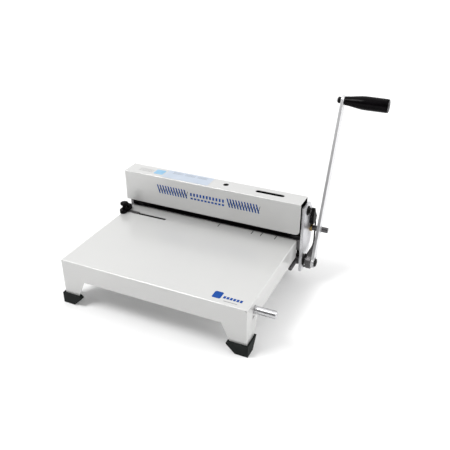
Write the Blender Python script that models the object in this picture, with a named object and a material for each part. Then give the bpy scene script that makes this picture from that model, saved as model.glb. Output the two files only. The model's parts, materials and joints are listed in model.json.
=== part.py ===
"""Manual coil binding punch: sheet metal table, covered punch head and side lever.

Machine frame: X = 0 at the table's left side, Y = 0 at its front, Z = 0 on the desk.
The whole machine hangs from one empty, which moves it so that its box stands centred on the world origin.
All sizes are in metres.
"""
import math

import bmesh
import bpy
from mathutils import Matrix, Vector

MM = 0.001
GAP = 0.3 * MM

# Table
TABLE_WIDTH = 400 * MM
TABLE_DEPTH = 266.3 * MM
TABLE_TOP = 100.8 * MM
SHEET = 1.5 * MM
SKIRT_LOW = 59.6 * MM
SIDE_SKIRT_DEPTH = 264 * MM
LEG_LOW = 22 * MM
LEG_WIDE = 50 * MM
LEG_NARROW = 33.5 * MM
SLOT_Y = 230 * MM
SLOT_START = 20 * MM
SLOT_END = 107.5 * MM
SLOT_WIDTH = 7.5 * MM
# Rubber feet
FOOT_WALL = 4 * MM
FOOT_RIM = 24 * MM
FOOT_ARM = 10 * MM
FOOT_RINGS = ((0, 26 * MM, 24.4 * MM), (17 * MM, 43.8 * MM, 36.5 * MM), (20 * MM, 44.4 * MM, 38.7 * MM))
FOOT_RINGS += ((FOOT_RIM, 38 * MM, 41.5 * MM),)
# Rear legs, inset under the head
REAR_Y = 306.5 * MM
REAR_LEG_X = 364 * MM
REAR_PANEL_TOP = 98 * MM
FLANGE_TOP = 73 * MM
FLANGE_DEEP = 22 * MM
# Side plates
PLATE = 6 * MM
RIGHT_PLATE_X = 407.5 * MM
LEFT_PLATE_X = -5.1 * MM
LEFT_PLATE_FRONT = 266.6 * MM
LEFT_PLATE_REAR = 296.8 * MM
RIGHT_PLATE_FRONT = 263 * MM
PLATE_REAR = 325 * MM
PLATE_TOP = 177 * MM
PLATE_LOW = 28 * MM
# Punch head
COVER_X0 = -8 * MM
COVER_X1 = 406.9 * MM
COVER_FRONT = 254.9 * MM
COVER_DEPTH = 43.8 * MM
COVER_LOW = 118.6 * MM
COVER_TOP = 188.8 * MM
BAR_X0 = LEFT_PLATE_X + PLATE + GAP
BAR_X1 = RIGHT_PLATE_X - GAP
DIE_LOW = 76 * MM
DIE_REAR = 304.7 * MM
THROAT = 5 * MM
GUIDE_FRONT = 272 * MM
GUIDE_REAR = 296 * MM
GUIDE_TOP = 122 * MM
PUNCH_Y = 284 * MM
PUNCH_COUNT = 52
PUNCH_PITCH = 6.35 * MM
PUNCH_RADIUS = 2 * MM
PUNCH_HOLE = 2.45 * MM
PUNCH_TIP = 106.8 * MM
HEAD_MIDDLE = 200 * MM
TIE_Y = 285 * MM
TIE_Z = 164 * MM
# Shaft, eccentrics and yokes
SHAFT_Y = 273.5 * MM
SHAFT_Z = 51 * MM
SHAFT_R = 8 * MM
BORE_R = 8.35 * MM
ECCENTRICITY = 6 * MM
DISC_R = 14.5 * MM
LEVER_SWING = math.radians(101)
YOKE_X = (18 * MM, 376 * MM)
YOKE_T = 6 * MM
YOKE_PLAY = 0.5 * MM
YOKE_WALL = 4.6 * MM
YOKE_Y = (248 * MM, 289.5 * MM)
LINK_Y = (278 * MM, 290 * MM)
LINK_TOP = 154 * MM
PRESS_LOW = 137 * MM
PRESS_TOP = 155.5 * MM
YOKE_BOLT_Z = 146 * MM
# Lever and grip
LEVER_LEAN = math.radians(23)
LEVER_LENGTH = 339.3 * MM
LEVER_X = 432.5 * MM
LEVER_T = 6 * MM
LEVER_HALF = 10.5 * MM
HUB_X = 422.4 * MM
GRIP_LENGTH = 89 * MM
# Stops
STOP_ROD_Y = 34.4 * MM
STOP_ROD_Z = 81.4 * MM
STOP_ROD_END = 442 * MM
STOP_ROD_R = 7.5 * MM
STOP_PIN_Y = 316.2 * MM
STOP_PIN_Z = 109 * MM
STOP_PIN_END = 450.8 * MM
# Edge guide
KNOB_X = 3.5 * MM
KNOB_Y = 226 * MM
RAIL_LOW = 91 * MM
# Roundness of turned pieces
SIDES = 24
FINE_SIDES = 32


def clear_scene():
    for item in list(bpy.data.objects):
        bpy.data.objects.remove(item, do_unlink=True)


def material(name, colour, roughness, metallic=0.0):
    made = bpy.data.materials.new(name)
    made.use_nodes = True
    shader = made.node_tree.nodes["Principled BSDF"]
    shader.inputs["Base Color"].default_value = (*colour, 1.0)
    shader.inputs["Roughness"].default_value = roughness
    shader.inputs["Metallic"].default_value = metallic
    return made


def empty(name, parent, location):
    made = bpy.data.objects.new(name, None)
    bpy.context.scene.collection.objects.link(made)
    made.parent = parent
    made.location = location
    return made


def add_object(name, bm, finish, parent, location=(0, 0, 0)):
    """Close the bmesh into one object whose faces point out."""
    bmesh.ops.remove_doubles(bm, verts=bm.verts, dist=1e-7)
    bmesh.ops.recalc_face_normals(bm, faces=bm.faces)
    mesh = bpy.data.meshes.new(name)
    bm.to_mesh(mesh)
    bm.free()
    mesh.materials.append(finish)
    made = bpy.data.objects.new(name, mesh)
    bpy.context.scene.collection.objects.link(made)
    made.parent = parent
    made.location = location
    return made


def smooth(item):
    item.data.shade_smooth()
    item.data.set_sharp_from_angle(angle=math.radians(35))
    return item


def arc(centre, radius, start, end, steps):
    """Points of an arc in degrees, both ends included."""
    points = []
    for step in range(steps + 1):
        angle = math.radians(start + (end - start) * step / steps)
        points.append((centre[0] + radius * math.cos(angle), centre[1] + radius * math.sin(angle)))
    return points


def circle(centre, radius, sides=SIDES):
    return arc(centre, radius, 0, 360, sides)[:-1]


def to_axis(axis, along, point):
    """Place an outline point on the plane that faces the axis."""
    if axis == "X":
        return Vector((along, point[0], point[1]))
    if axis == "Y":
        return Vector((point[0], along, point[1]))
    return Vector((point[0], point[1], along))


def prism(axis, low, high, outline):
    """Extrude a closed outline from low to high along an axis."""
    bm = bmesh.new()
    face = bm.faces.new([bm.verts.new(to_axis(axis, low, point)) for point in outline])
    grown = bmesh.ops.extrude_face_region(bm, geom=[face])
    moved = [item for item in grown["geom"] if isinstance(item, bmesh.types.BMVert)]
    bmesh.ops.translate(bm, verts=moved, vec=to_axis(axis, high - low, (0, 0)))
    return bm


def box(x, y, z):
    return prism("Z", z[0], z[1], [(x[0], y[0]), (x[1], y[0]), (x[1], y[1]), (x[0], y[1])])


def turned(profile, sides=SIDES, axis="X"):
    """Turn (along, radius) points round an axis; zero radius ends close it, otherwise it is a ring."""
    bm = bmesh.new()
    rings = []
    for along, radius in profile:
        if radius == 0:
            rings.append([bm.verts.new(to_axis(axis, along, (0, 0)))] * sides)
        else:
            points = circle((0, 0), radius, sides)
            rings.append([bm.verts.new(to_axis(axis, along, point)) for point in points])
    pairs = list(zip(rings, rings[1:]))
    if profile[0][1] != 0:
        pairs.append((rings[-1], rings[0]))
    for first, second in pairs:
        for step in range(sides):
            after = (step + 1) % sides
            corners = [first[step], first[after], second[after], second[step]]
            bm.faces.new(list(dict.fromkeys(corners)))
    return bm


def pin(low, high, radius, sides=SIDES, axis="X"):
    return turned([(low, 0), (low, radius), (high, radius), (high, 0)], sides, axis)


def sleeve(low, high, outer, bore, sides=SIDES, axis="X"):
    return turned([(low, bore), (low, outer), (high, outer), (high, bore)], sides, axis)


def cutter(name, bm, parent, location=(0, 0, 0)):
    made = add_object(name, bm, STEEL, parent, location)
    made.hide_render = True
    made.display_type = "WIRE"
    return made


def cut(item, tool):
    change = item.modifiers.new("cut", "BOOLEAN")
    change.operation = "DIFFERENCE"
    change.solver = "EXACT"
    change.object = tool


def folded_sheet(name, faces, thickness, finish, parent, bend=0.0):
    """A folded sheet from its outer faces; the thickness goes inwards."""
    bm = bmesh.new()
    for corners in faces:
        bm.faces.new([bm.verts.new(corner) for corner in corners])
    bmesh.ops.remove_doubles(bm, verts=bm.verts, dist=1e-6)
    bmesh.ops.recalc_face_normals(bm, faces=bm.faces)
    middle = sum((vert.co for vert in bm.verts), Vector()) / len(bm.verts)
    outward = sum(face.calc_area() * face.normal.dot(face.calc_center_median() - middle) for face in bm.faces)
    if outward < 0:
        bmesh.ops.reverse_faces(bm, faces=bm.faces)
    mesh = bpy.data.meshes.new(name)
    bm.to_mesh(mesh)
    bm.free()
    mesh.materials.append(finish)
    made = bpy.data.objects.new(name, mesh)
    bpy.context.scene.collection.objects.link(made)
    made.parent = parent
    if bend:
        round_bends = made.modifiers.new("bends", "BEVEL")
        round_bends.width = bend
        round_bends.segments = 2
        round_bends.limit_method = "ANGLE"
        round_bends.angle_limit = math.radians(60)
    wall = made.modifiers.new("sheet", "SOLIDIFY")
    wall.thickness = thickness
    wall.offset = -1.0
    wall.use_even_offset = True
    wall.use_quality_normals = True
    return made


clear_scene()

PAINT = material("painted_sheet", (0.70, 0.70, 0.68), 0.45)
STEEL = material("bright_steel", (0.60, 0.60, 0.62), 0.35, 1.0)
DARK_STEEL = material("dark_steel", (0.16, 0.16, 0.17), 0.45, 1.0)
ZINC = material("zinc_plate", (0.75, 0.75, 0.77), 0.35, 1.0)
BRASS = material("brass", (0.72, 0.52, 0.22), 0.35, 1.0)
RUBBER = material("rubber", (0.02, 0.025, 0.022), 0.75)
BLACK_PLASTIC = material("black_plastic", (0.012, 0.011, 0.012), 0.3)
BLACKENED = material("blackened_steel", (0.02, 0.02, 0.02), 0.5, 0.6)

MACHINE = empty("machine", None, (0, 0, 0))


# Table and legs ------------------------------------------------------------

def leg_outline(near, top, low, inner_top, inner_low, step_in):
    """The slanted inner edge of a leg from its foot up to the skirt."""
    return [(near, low), (near + step_in * inner_low, low), (near + step_in * inner_top, top)]


def make_table():
    right = TABLE_WIDTH
    front = [(0, 0, TABLE_TOP)]
    front += [(x, 0, z) for x, z in leg_outline(0, SKIRT_LOW, LEG_LOW, LEG_WIDE, LEG_NARROW, 1)]
    right_leg = leg_outline(right, SKIRT_LOW, LEG_LOW, LEG_WIDE, LEG_NARROW, -1)
    front += [(x, 0, z) for x, z in reversed(right_leg)]
    front.append((right, 0, TABLE_TOP))
    faces = [front]
    for x in (0, right):
        side = [(x, y, z) for y, z in leg_outline(0, SKIRT_LOW, LEG_LOW, LEG_WIDE, LEG_NARROW, 1)]
        side += [(x, SIDE_SKIRT_DEPTH, SKIRT_LOW), (x, SIDE_SKIRT_DEPTH, TABLE_TOP), (x, 0, TABLE_TOP)]
        faces.append(side)
    rear = SIDE_SKIRT_DEPTH
    faces.append([(0, 0, TABLE_TOP), (right, 0, TABLE_TOP), (right, rear, TABLE_TOP), (0, rear, TABLE_TOP)])
    table = folded_sheet("table_tray", faces, SHEET, PAINT, MACHINE, bend=2.4 * MM)
    slot = [(SLOT_START, SLOT_END), (SLOT_Y - SLOT_WIDTH / 2, SLOT_Y + SLOT_WIDTH / 2)]
    cut(table, cutter("slot_cutter", box(slot[0], slot[1], (90 * MM, 110 * MM)), MACHINE))
    rod_hole = pin(390 * MM, 410 * MM, STOP_ROD_R + 0.4 * MM)
    cut(table, cutter("rod_hole_cutter", rod_hole, MACHINE, (0, STOP_ROD_Y, STOP_ROD_Z)))
    return table


def make_rear_panel():
    """An arch like the table's front, whose legs have flanges that run forwards."""
    left = TABLE_WIDTH - REAR_LEG_X
    right = REAR_LEG_X
    left_edge = leg_outline(left, SKIRT_LOW, LEG_LOW, LEG_WIDE, LEG_NARROW, 1)
    right_edge = leg_outline(right, SKIRT_LOW, LEG_LOW, LEG_WIDE, LEG_NARROW, -1)
    outline = [(left, REAR_PANEL_TOP), (left, FLANGE_TOP)] + left_edge
    outline += right_edge[::-1] + [(right, FLANGE_TOP), (right, REAR_PANEL_TOP)]
    faces = [[(x, REAR_Y, z) for x, z in reversed(outline)]]
    for x in (left, right):
        side = [(x, REAR_Y, LEG_LOW), (x, REAR_Y, FLANGE_TOP), (x, REAR_Y - FLANGE_DEEP, FLANGE_TOP)]
        side.append((x, REAR_Y - FLANGE_DEEP, LEG_LOW))
        faces.append(side)
    return folded_sheet("rear_leg_panel", faces, SHEET, PAINT, MACHINE)


def corner_outline(corner, out, wall, reach, arm):
    """An L round a leg's corner: two arms that start one wall outside it and run inwards."""
    x0 = corner[0] + out[0] * wall
    y0 = corner[1] + out[1] * wall
    x1 = x0 - out[0] * reach[0]
    y1 = y0 - out[1] * reach[1]
    inner_x = x0 - out[0] * arm
    inner_y = y0 - out[1] * arm
    return [(x0, y0), (x1, y0), (x1, inner_y), (inner_x, inner_y), (inner_x, y1), (x0, y1)]


def make_foot(name, corner_x, corner_y, out_x, out_y):
    """An L-shaped rubber boot with a groove that takes the leg's folded sheet."""
    corner = (corner_x, corner_y)
    out = (out_x, out_y)
    bm = bmesh.new()
    rings = []
    for z, wide, deep in FOOT_RINGS:
        outline = corner_outline(corner, out, FOOT_WALL, (wide, deep), FOOT_ARM)
        rings.append([bm.verts.new((x, y, z)) for x, y in outline])
    bm.faces.new(rings[0])
    bm.faces.new(rings[-1])
    count = len(rings[0])
    for low, high in zip(rings, rings[1:]):
        for step in range(count):
            after = (step + 1) % count
            bm.faces.new([low[step], low[after], high[after], high[step]])
    foot = add_object(name, bm, RUBBER, MACHINE)
    reach = LEG_NARROW + 5 * GAP
    groove = corner_outline(corner, out, GAP, (reach, reach), SHEET + 3 * GAP)
    groove_tool = prism("Z", LEG_LOW - GAP, FOOT_RIM + 2 * MM, groove)
    cut(foot, cutter(name + "_groove", groove_tool, MACHINE))
    return foot


def make_frame():
    make_table()
    make_rear_panel()
    rear_left = TABLE_WIDTH - REAR_LEG_X
    make_foot("front_foot_left", 0, 0, -1, -1)
    make_foot("front_foot_right", TABLE_WIDTH, 0, 1, -1)
    make_foot("rear_foot_left", rear_left, REAR_Y, -1, 1)
    make_foot("rear_foot_right", REAR_LEG_X, REAR_Y, 1, 1)
    rivet = [(0, 0), (0, 3.2 * MM), (0.9 * MM, 2.6 * MM), (1.4 * MM, 0)]
    right = turned([(GAP + along, radius) for along, radius in rivet], 16)
    add_object("leg_rivet_right", right, DARK_STEEL, MACHINE, (TABLE_WIDTH, 29.6 * MM, 66.4 * MM))
    left = turned([(-GAP - along, radius) for along, radius in rivet], 16)
    add_object("leg_rivet_left", left, DARK_STEEL, MACHINE, (0, 29.6 * MM, 66.4 * MM))
    for index, x in enumerate((60, 340)):
        head = turned([(0, 0), (0, 4 * MM), (1.6 * MM, 3.4 * MM), (2.2 * MM, 0)], 16, "Y")
        place = (x * MM, REAR_Y + GAP, 88 * MM)
        add_object("rear_panel_screw_%d" % (index + 1), head, STEEL, MACHINE, place)


# Side plates and the bars between them ---------------------------------------

def make_side_plate(name, x, outline, pin_hole):
    plate = add_object(name, prism("X", x, x + PLATE, outline), ZINC, MACHINE)
    shaft_hole = pin(x - 2 * MM, x + PLATE + 2 * MM, 10.35 * MM)
    cut(plate, cutter(name + "_shaft_hole", shaft_hole, MACHINE, (0, SHAFT_Y, SHAFT_Z)))
    if pin_hole:
        hole = pin(x - 2 * MM, x + PLATE + 2 * MM, 4.4 * MM, 16)
        cut(plate, cutter(name + "_pin_hole", hole, MACHINE, (0, STOP_PIN_Y, STOP_PIN_Z)))
    return plate


def punch_positions():
    first = HEAD_MIDDLE - PUNCH_PITCH * (PUNCH_COUNT - 1) / 2
    return [first + PUNCH_PITCH * index for index in range(PUNCH_COUNT)]


def hole_row(low, high, radius):
    """One mesh with a six sided plug for every punch hole."""
    bm = bmesh.new()
    for x in punch_positions():
        for z in (low, high):
            points = [bm.verts.new((px, py, z)) for px, py in circle((x, PUNCH_Y), radius, 6)]
            bm.faces.new(points)
            if z == high:
                for step in range(6):
                    after = (step + 1) % 6
                    bm.faces.new([below[step], below[after], points[after], points[step]])
            below = points
    return bm


def link_slots():
    bm = bmesh.new()
    for x in YOKE_X:
        across = (x - YOKE_PLAY, x + YOKE_T + YOKE_PLAY)
        part = box(across, (LINK_Y[0] - GAP, LINK_Y[1] + GAP), (60 * MM, 135 * MM))
        mesh = bpy.data.meshes.new("slot")
        part.to_mesh(mesh)
        part.free()
        bm.from_mesh(mesh)
        bpy.data.meshes.remove(mesh)
    bmesh.ops.recalc_face_normals(bm, faces=bm.faces)
    return bm


def make_bars():
    die_front = TABLE_DEPTH + GAP
    holes = cutter("punch_hole_cutter", hole_row(70 * MM, 130 * MM, PUNCH_HOLE), MACHINE)
    slots = cutter("link_slot_cutter", link_slots(), MACHINE)
    die_shape = box((BAR_X0, BAR_X1), (die_front, DIE_REAR), (DIE_LOW, TABLE_TOP))
    die = add_object("die_bar", die_shape, STEEL, MACHINE)
    guide_z = (TABLE_TOP + THROAT, GUIDE_TOP)
    guide_box = box((BAR_X0, BAR_X1), (GUIDE_FRONT, GUIDE_REAR), guide_z)
    guide = add_object("punch_guide_bar", guide_box, BLACKENED, MACHINE)
    for bar in (die, guide):
        cut(bar, holes)
        cut(bar, slots)
    stop_x = (YOKE_X[0] + YOKE_T + 2 * MM, YOKE_X[1] - 2 * MM)
    stop_z = (TABLE_TOP + GAP, TABLE_TOP + THROAT - GAP)
    add_object("margin_backstop", box(stop_x, (290 * MM, 296 * MM), stop_z), STEEL, MACHINE)
    spacer = box((TABLE_WIDTH + GAP, BAR_X1), (265 * MM, 283 * MM), (62.5 * MM, DIE_LOW - GAP))
    add_object("die_spacer_right", spacer, BLACKENED, MACHINE)
    tie = box((BAR_X0, BAR_X1), (TIE_Y - 7 * MM, TIE_Y + 7 * MM), (TIE_Z - 7 * MM, TIE_Z + 7 * MM))
    add_object("upper_tie_bar", tie, DARK_STEEL, MACHINE)


def bolt_head(reach, radius, hexagon=True):
    profile = [(0, 0), (0, radius), (reach * 0.8, radius), (reach, radius * 0.82), (reach, 0)]
    return turned(profile, 6 if hexagon else 16)


def make_plates():
    right_face = RIGHT_PLATE_X + PLATE + GAP
    left_face = LEFT_PLATE_X - GAP
    front = RIGHT_PLATE_FRONT
    outline = [(front, PLATE_LOW), (front + 26 * MM, PLATE_LOW), (PLATE_REAR, 84 * MM)]
    outline += [(PLATE_REAR, 148 * MM), (300 * MM, PLATE_TOP), (front, PLATE_TOP)]
    make_side_plate("right_side_plate", RIGHT_PLATE_X, outline, True)
    front = LEFT_PLATE_FRONT
    rear = LEFT_PLATE_REAR
    outline = [(front, PLATE_LOW), (rear, PLATE_LOW), (rear, PLATE_TOP), (front, PLATE_TOP)]
    make_side_plate("left_side_plate", LEFT_PLATE_X, outline, False)
    washer = turned([(0, 0), (0, 10 * MM), (1.4 * MM, 10 * MM), (1.4 * MM, 0)], 20)
    add_object("tie_washer_right", washer, BLACKENED, MACHINE, (right_face, TIE_Y, TIE_Z))
    head_x = right_face + 1.4 * MM + GAP
    add_object("tie_bolt_right", bolt_head(4.5 * MM, 7.2 * MM), BLACKENED, MACHINE, (head_x, TIE_Y, TIE_Z))
    sleeve_right = sleeve(405.5 * MM, right_face + 0.2 * MM, 10 * MM, BORE_R)
    add_object("shaft_bush_right", sleeve_right, DARK_STEEL, MACHINE, (0, SHAFT_Y, SHAFT_Z))
    sleeve_left = sleeve(left_face - 0.2 * MM, 7 * MM, 10 * MM, BORE_R)
    add_object("shaft_bush_left", sleeve_left, DARK_STEEL, MACHINE, (0, SHAFT_Y, SHAFT_Z))


# Cover -----------------------------------------------------------------------

def make_cover():
    rear = COVER_FRONT + COVER_DEPTH
    corner = 9 * MM
    x0, x1 = COVER_X0, COVER_X1
    front = [(x0, COVER_FRONT, COVER_TOP), (x0, COVER_FRONT, COVER_LOW)]
    rounded = arc((x1 - corner, COVER_LOW + corner), corner, -90, 0, 4)
    front += [(x, COVER_FRONT, z) for x, z in rounded]
    front.append((x1, COVER_FRONT, COVER_TOP))
    y0 = COVER_FRONT
    low, high = COVER_LOW, COVER_TOP
    top = [(x0, y0, high), (x1, y0, high), (x1, rear, high), (x0, rear, high)]
    back = [(x0, rear, high), (x1, rear, high), (x1, rear, low), (x0, rear, low)]
    end = [(x0, y0, high), (x0, rear, high), (x0, rear, low), (x0, y0, low)]
    cover = folded_sheet("head_cover", [front, top, back, end], 1.2 * MM, PAINT, MACHINE, bend=1.8 * MM)
    hole = pin(180 * MM, 195 * MM, 6 * MM, 20, "Z")
    cut(cover, cutter("cover_hole_cutter", hole, MACHINE, (231 * MM, 280 * MM, 0)))
    half = 5 * MM
    slot_y = 278.5 * MM
    slot = arc((358.5 * MM, slot_y), half, -90, 90, 8) + arc((305 * MM, slot_y), half, 90, 270, 8)
    cut(cover, cutter("cover_slot_cutter", prism("Z", 180 * MM, 195 * MM, slot), MACHINE))
    for index, x in enumerate((20, 380)):
        head = turned([(0, 0), (0, 3.4 * MM), (1.2 * MM, 2.8 * MM), (1.7 * MM, 0)], 16, "Y")
        place = (x * MM, rear + GAP, TIE_Z)
        add_object("cover_screw_%d" % (index + 1), head, STEEL, MACHINE, place)
    return cover


# Stops and spring -------------------------------------------------------------

def make_stops():
    radius = STOP_ROD_R
    rod = [(389 * MM, 0), (389 * MM, radius), (STOP_ROD_END - 1 * MM, radius)]
    rod += [(STOP_ROD_END, radius - 1 * MM), (STOP_ROD_END, 0)]
    smooth(add_object("front_stop_rod", turned(rod), STEEL, MACHINE, (0, STOP_ROD_Y, STOP_ROD_Z)))
    nut = sleeve(391 * MM, TABLE_WIDTH - SHEET - GAP, 11 * MM, radius + 0.35 * MM)
    add_object("front_stop_nut", nut, STEEL, MACHINE, (0, STOP_ROD_Y, STOP_ROD_Z))
    shoulder = RIGHT_PLATE_X + PLATE + GAP
    pin_shape = [(402 * MM, 0), (402 * MM, 4 * MM), (shoulder, 4 * MM), (shoulder, 5.75 * MM)]
    pin_shape += [(STOP_PIN_END - 0.8 * MM, 5.75 * MM), (STOP_PIN_END, 5 * MM), (STOP_PIN_END, 0)]
    smooth(add_object("rear_stop_pin", turned(pin_shape), STEEL, MACHINE, (0, STOP_PIN_Y, STOP_PIN_Z)))
    bush = sleeve(shoulder, shoulder + 3.4 * MM, 8 * MM, 6.05 * MM)
    smooth(add_object("rear_stop_bush", bush, BRASS, MACHINE, (0, STOP_PIN_Y, STOP_PIN_Z)))
    outline = [(304, 122), (324, 121), (331, 132), (318, 149), (314, 158), (309, 158), (303, 142)]
    outline = [(y * MM, z * MM) for y, z in outline]
    shape = prism("X", shoulder, 421.5 * MM, outline)
    block = add_object("spring_anchor_block", shape, BLACK_PLASTIC, MACHINE)
    chamfer = block.modifiers.new("edges", "BEVEL")
    chamfer.width = 1.2 * MM
    chamfer.segments = 1
    chamfer.limit_method = "ANGLE"
    return block


def make_spring():
    """Wire wound round the shaft, with a leg hooked behind the stop pin."""
    wire = 1.7 * MM
    coil = 13 * MM
    turns = 1.4
    first_x = RIGHT_PLATE_X + PLATE + GAP + wire
    last_x = HUB_X - GAP - wire
    points = []
    steps = int(turns * 16)
    for step in range(steps + 1):
        share = step / steps
        angle = math.radians(90) - math.tau * turns * (1 - share)
        x = first_x + (last_x - first_x) * share
        points.append((x, SHAFT_Y + coil * math.cos(angle), SHAFT_Z + coil * math.sin(angle)))
    bend = 12 * MM
    leg_y = STOP_PIN_Y + 5.75 * MM + wire + GAP
    top_z = SHAFT_Z + coil
    points.append((last_x, leg_y - bend - 16 * MM, top_z))
    for y, z in arc((leg_y - bend, top_z + bend), bend, -90, 0, 5):
        points.append((last_x, y, z))
    points.append((last_x, leg_y, 104 * MM))
    points.append((last_x, leg_y, 120.4 * MM))
    curve = bpy.data.curves.new("return_spring", "CURVE")
    curve.dimensions = "3D"
    curve.bevel_depth = wire
    curve.bevel_resolution = 2
    curve.use_fill_caps = True
    line = curve.splines.new("POLY")
    line.points.add(len(points) - 1)
    for point, place in zip(line.points, points):
        point.co = (*place, 1.0)
    curve.materials.append(BLACKENED)
    spring = bpy.data.objects.new("return_spring", curve)
    bpy.context.scene.collection.objects.link(spring)
    spring.parent = MACHINE


# Lever, shaft and eccentrics ------------------------------------------------

def shaft_piece(name, bm, finish, parent):
    return smooth(add_object(name, bm, finish, parent))


def make_shaft(shaft):
    """Everything that turns with the shaft; the parent empty lies on the shaft's axis."""
    left_end = LEFT_PLATE_X - 4 * MM
    right_end = LEVER_X + LEVER_T - 0.4 * MM
    bar = [(left_end, 0), (left_end, SHAFT_R), (right_end, SHAFT_R), (right_end, 4.3 * MM)]
    bar += [(right_end - 12 * MM, 4.3 * MM), (right_end - 12 * MM, 0)]
    shaft_piece("drive_shaft", turned(bar), STEEL, shaft)
    clip = sleeve(left_end + 0.4 * MM, left_end + 2.4 * MM, 11 * MM, BORE_R)
    shaft_piece("shaft_clip", clip, DARK_STEEL, shaft)
    raise_angle = math.pi - LEVER_SWING / 2
    centre = (ECCENTRICITY * math.cos(raise_angle), ECCENTRICITY * math.sin(raise_angle))
    for name, x in zip(("eccentric_left", "eccentric_right"), YOKE_X):
        disc = prism("X", x - 0.5 * MM, x + YOKE_T + 0.5 * MM, circle(centre, DISC_R, FINE_SIDES))
        piece = shaft_piece(name, disc, DARK_STEEL, shaft)
        cut(piece, cutter(name + "_bore", pin(x - 3 * MM, x + YOKE_T + 3 * MM, BORE_R), shaft))
    collar_x = (391.5 * MM, 405 * MM)
    collar = shaft_piece("shaft_collar", sleeve(*collar_x, 11 * MM, BORE_R), DARK_STEEL, shaft)
    stud_x = 399.5 * MM
    hole = pin(-20 * MM, -8.6 * MM, 4.3 * MM, 12, "Y")
    cut(collar, cutter("stud_hole", hole, shaft, (stud_x, 0, 0)))
    stud = [(-44 * MM, 0), (-44 * MM, 4.2 * MM), (-43 * MM, 4.9 * MM), (-11.6 * MM, 4.9 * MM)]
    stud += [(-11.6 * MM, 3.8 * MM), (-9 * MM, 3.8 * MM), (-9 * MM, 0)]
    made = smooth(add_object("shaft_stud", turned(stud, 16, "Y"), STEEL, shaft, (stud_x, 0, 0)))
    return made


def lever_frame(bm):
    """Tilt a shape drawn with its length along +Z to the lever's rest angle."""
    bmesh.ops.transform(bm, matrix=Matrix.Rotation(-LEVER_LEAN, 4, "X"), verts=bm.verts)
    return bm


def make_hub(shaft):
    boss = 15 * MM
    arm = 10 * MM
    reach = 46 * MM
    side_angle = math.degrees(math.acos(arm / boss))
    outline = arc((0, 0), boss, 180 - side_angle, 360 + side_angle, 18)
    outline += [(arm, reach), (-arm, reach)]
    bm = prism("X", HUB_X, LEVER_X - GAP, outline)
    slope_from = Vector((HUB_X, 0, boss * 0.8))
    slope_to = Vector((LEVER_X - GAP, 0, reach))
    along = slope_to - slope_from
    normal = along.cross(Vector((0, 1, 0)))
    if normal.z < 0:
        normal.negate()
    everything = bm.verts[:] + bm.edges[:] + bm.faces[:]
    bmesh.ops.bisect_plane(bm, geom=everything, plane_co=slope_from, plane_no=normal, clear_outer=True)
    bmesh.ops.holes_fill(bm, edges=[edge for edge in bm.edges if edge.is_boundary], sides=0)
    hub = add_object("lever_hub", lever_frame(bm), DARK_STEEL, shaft)
    cut(hub, cutter("hub_bore", pin(HUB_X - 3 * MM, LEVER_X + 3 * MM, BORE_R), shaft))


def make_lever(shaft):
    make_hub(shaft)
    low = 12 * MM
    half = LEVER_HALF
    outline = arc((0, 0), low, 180 - 29, 360 + 29, 14)
    outline += arc((0, LEVER_LENGTH), half, 0, 180, 8)
    bm = prism("X", LEVER_X, LEVER_X + LEVER_T, outline)
    arm = add_object("lever_arm", lever_frame(bm), STEEL, shaft)
    bores = pin(LEVER_X - 2 * MM, LEVER_X + LEVER_T + 2 * MM, BORE_R)
    cut(arm, cutter("arm_shaft_bore", bores, shaft))
    grip_hole = pin(LEVER_X - 2 * MM, LEVER_X + LEVER_T + 2 * MM, 4.35 * MM, 16)
    bmesh.ops.translate(grip_hole, verts=grip_hole.verts, vec=(0, 0, LEVER_LENGTH))
    cut(arm, cutter("arm_grip_bore", lever_frame(grip_hole), shaft))
    outer = LEVER_X + LEVER_T + GAP
    washer = sleeve(outer, outer + 0.8 * MM, 10.8 * MM, 4.35 * MM)
    shaft_piece("pivot_washer", washer, STEEL, shaft)
    head = outer + 0.8 * MM + GAP
    bolt = [(LEVER_X - 5 * MM, 0), (LEVER_X - 5 * MM, 4 * MM), (head, 4 * MM), (head, 8.6 * MM)]
    bolt += [(head + 1.6 * MM, 8.6 * MM), (head + 2.6 * MM, 7 * MM), (head + 2.6 * MM, 0)]
    add_object("pivot_bolt", turned(bolt, 12), BLACKENED, shaft)


def make_grip(shaft, spin):
    """The spindle is fixed in the lever; the grip and its cap turn on it."""
    tilt = Matrix.Rotation(-LEVER_LEAN, 4, "X")
    top = tilt @ Vector((0, 0, LEVER_LENGTH))
    spindle = [(422.5 * MM, 0), (422.5 * MM, 4 * MM), (512 * MM, 4 * MM), (512 * MM, 0)]
    smooth(add_object("grip_spindle", turned(spindle, 16), STEEL, shaft, top))
    nut = sleeve(425 * MM, LEVER_X - GAP, 6.8 * MM, 4.35 * MM, 12)
    add_object("grip_nut", nut, BLACKENED, shaft, top)
    start = LEVER_X + LEVER_T + GAP
    end = start + GRIP_LENGTH - 3 * MM
    profile = [(start, 4.5 * MM), (start, 8 * MM), (start + 0.8 * MM, 8.8 * MM), (start + 10 * MM, 9.8 * MM)]
    profile += [(start + 22 * MM, 11.7 * MM), (start + 34 * MM, 13.4 * MM), (start + 42 * MM, 14 * MM)]
    profile += [(end, 13.9 * MM), (end, 11.2 * MM), (end - 2 * MM, 11.2 * MM), (end - 2 * MM, 4.5 * MM)]
    smooth(add_object("hand_grip", turned(profile), BLACK_PLASTIC, spin))
    cap = [(end - 1.7 * MM, 0), (end - 1.7 * MM, 10.9 * MM), (end + GAP, 10.9 * MM), (end + GAP, 13.8 * MM)]
    cap += [(end + 2.2 * MM, 13.5 * MM), (end + 3 * MM, 12.7 * MM), (end + 2.6 * MM, 0)]
    smooth(add_object("grip_cap", turned(cap), BLACK_PLASTIC, spin))


# Punch carriage ----------------------------------------------------------------

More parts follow.
